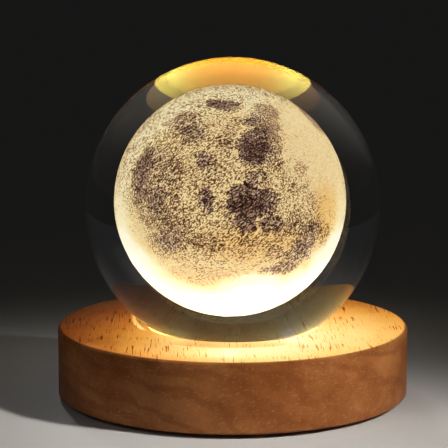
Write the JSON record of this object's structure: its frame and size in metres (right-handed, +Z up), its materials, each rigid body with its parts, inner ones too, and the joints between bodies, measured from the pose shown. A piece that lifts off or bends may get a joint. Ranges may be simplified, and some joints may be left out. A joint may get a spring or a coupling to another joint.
{
  "type": "moon lamp",
  "caption": "Solid glass ball with an engraved moon inside, standing loose in a round beech base that lights it from below.",
  "frame": {"origin": "on the table, under the middle of the round base", "axes": "+Z up through the middle of the base and the ball, +Y to the rear where the inlet and the switch are, +X to the right seen from the front"},
  "size_m": [0.095, 0.095, 0.0927],
  "materials": {
    "beech": "satin",
    "fibreboard": "matte",
    "screw_steel": "satin",
    "silicone": "matte",
    "clear_acrylic": "gloss",
    "white_board": "satin",
    "led_phosphor": "satin",
    "solder": "gloss",
    "red_wire": "satin",
    "black_wire": "satin",
    "green_board": "satin",
    "chip_ceramic": "matte",
    "capacitor_ceramic": "satin",
    "inlet_steel": "gloss",
    "black_plastic": "satin",
    "plate_plastic": "matte",
    "spring_steel": "satin",
    "white_plastic": "satin",
    "button_plastic": "satin",
    "crystal_glass": "polished",
    "engraved_moon": "matte"
  },
  "bodies": {
    "base": {"wood_base": "beech", "bottom_cover": "fibreboard", "cover_screws": "screw_steel", "foot_1": "silicone", "foot_2": "silicone", "foot_3": "silicone", "foot_4": "silicone", "lens": "clear_acrylic", "led_board": "white_board", "led_board_screws": "screw_steel", "led_1": "led_phosphor", "led_2": "led_phosphor", "led_3": "led_phosphor", "led_4": "led_phosphor", "led_5": "led_phosphor", "led_6": "led_phosphor", "solder_joints": "solder", "wire_red": "red_wire", "wire_black": "black_wire", "circuit_board": "green_board", "circuit_board_screws": "screw_steel", "resistors": "chip_ceramic", "capacitor": "capacitor_ceramic", "inlet_shell": "inlet_steel", "inlet_tongue": "black_plastic", "port_plate": "plate_plastic", "port_plate_screws": "screw_steel", "switch_body": "black_plastic", "switch_spring": "spring_steel"},
    "button": {"switch_stem": "white_plastic", "switch_cap": "button_plastic"},
    "ball": {"glass_ball": "crystal_glass", "engraved_moon": "engraved_moon"}
  },
  "joints": [
    {"name": "ball_lift", "type": "slide", "parent": "base", "child": "ball", "axis": [0, 0, 1], "range_m": [0, 0.05]},
    {"name": "switch_press", "type": "slide", "parent": "base", "child": "button", "axis": [0, -1, 0], "range_m": [0, 0.0012], "stiffness_N_per_m": 1000, "deforming": ["switch_spring"]}
  ]
}
